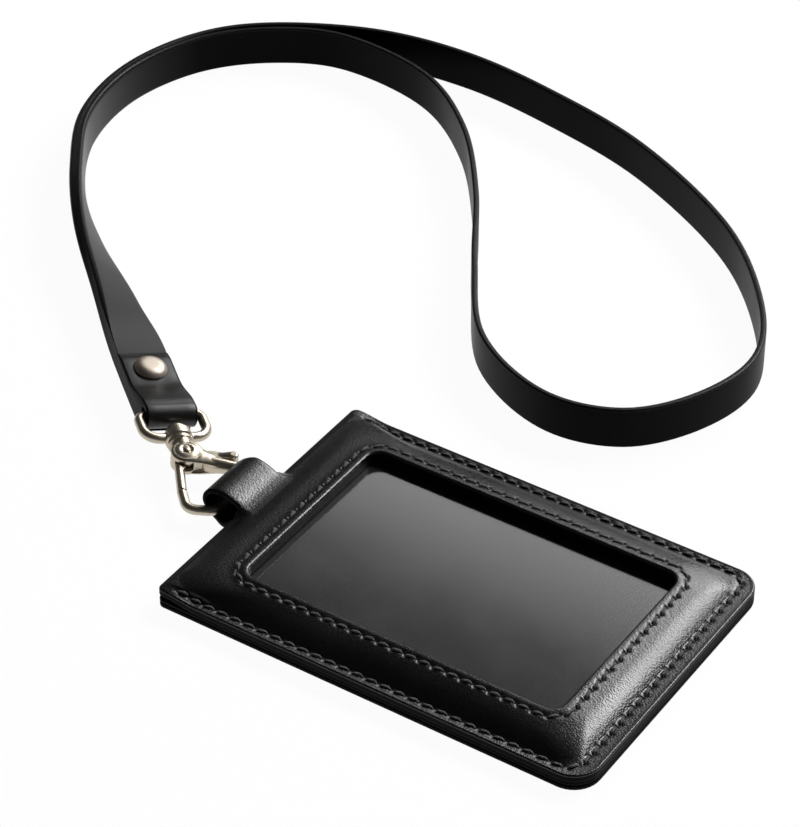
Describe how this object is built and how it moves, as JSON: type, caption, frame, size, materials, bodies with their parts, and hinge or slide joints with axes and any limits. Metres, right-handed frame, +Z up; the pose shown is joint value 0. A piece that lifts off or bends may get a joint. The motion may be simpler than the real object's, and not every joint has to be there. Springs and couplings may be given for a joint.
{
  "type": "badge holder on a neck strap",
  "caption": "Black leather badge holder with a stitched padded window frame, hung from a flat leather neck strap by a swivel trigger clasp.",
  "frame": {"origin": "middle of the holder's back face, on the surface it lies on", "axes": "+Y along the holder to its hang tab and the clasp, +X to the holder's right seen from the front, +Z up out of the window"},
  "size_m": [0.1957, 0.2172, 0.0104],
  "materials": {
    "strap_leather": "smooth satin black leather with dark grey painted edges",
    "clasp_metal": "warm satin nickel plating",
    "spring_steel": "plain drawn steel",
    "cover_leather": "finely grained satin black leather",
    "back_leather": "matte black leather",
    "lining": "smooth dark pocket lining",
    "window": "clear glossy film",
    "foam": "hidden soft padding",
    "thread": "waxed black thread"
  },
  "bodies": {
    "strap": {"neck_strap": "strap_leather", "strap_fold": "strap_leather", "rivet_cap": "clasp_metal", "rivet_post": "clasp_metal"},
    "eye": {"swivel_eye": "clasp_metal"},
    "hook": {"hook_body": "clasp_metal", "swivel_pin": "clasp_metal", "gate_pin": "spring_steel", "gate_spring": "spring_steel"},
    "gate": {"gate_lever": "clasp_metal"},
    "holder": {"front_cover": "cover_leather", "foam_frame": "foam", "window_film": "window", "pocket_lining": "lining", "back_panel": "back_leather", "edge_stitching": "thread", "window_stitching": "thread"}
  },
  "joints": [
    {"name": "fold_hinge", "type": "hinge", "parent": "strap", "child": "eye", "pos_m": [0.0104, 0.08002, 0.00541], "axis": [0.7803, -0.5918, -0.2021], "range_deg": [-45, 45]},
    {"name": "swivel", "type": "hinge", "parent": "eye", "child": "hook", "pos_m": [0.002, 0.06932, 0.00428], "axis": [0.6157, 0.7837, 0.0824], "continuous": true},
    {"name": "gate_hinge", "type": "hinge", "parent": "hook", "child": "gate", "pos_m": [0.002, 0.06932, 0.00428], "axis": [0, -0.1045, 0.9945], "range_deg": [0, 22], "stiffness_Nm_per_rad": 0.03, "springref_deg": -11.46, "deforming": ["gate_spring"]},
    {"name": "tab_hinge", "type": "hinge", "parent": "hook", "child": "holder", "pos_m": [0, 0.0552, 0.0028], "axis": [1, 0, 0], "range_deg": [-15, 60]}
  ]
}
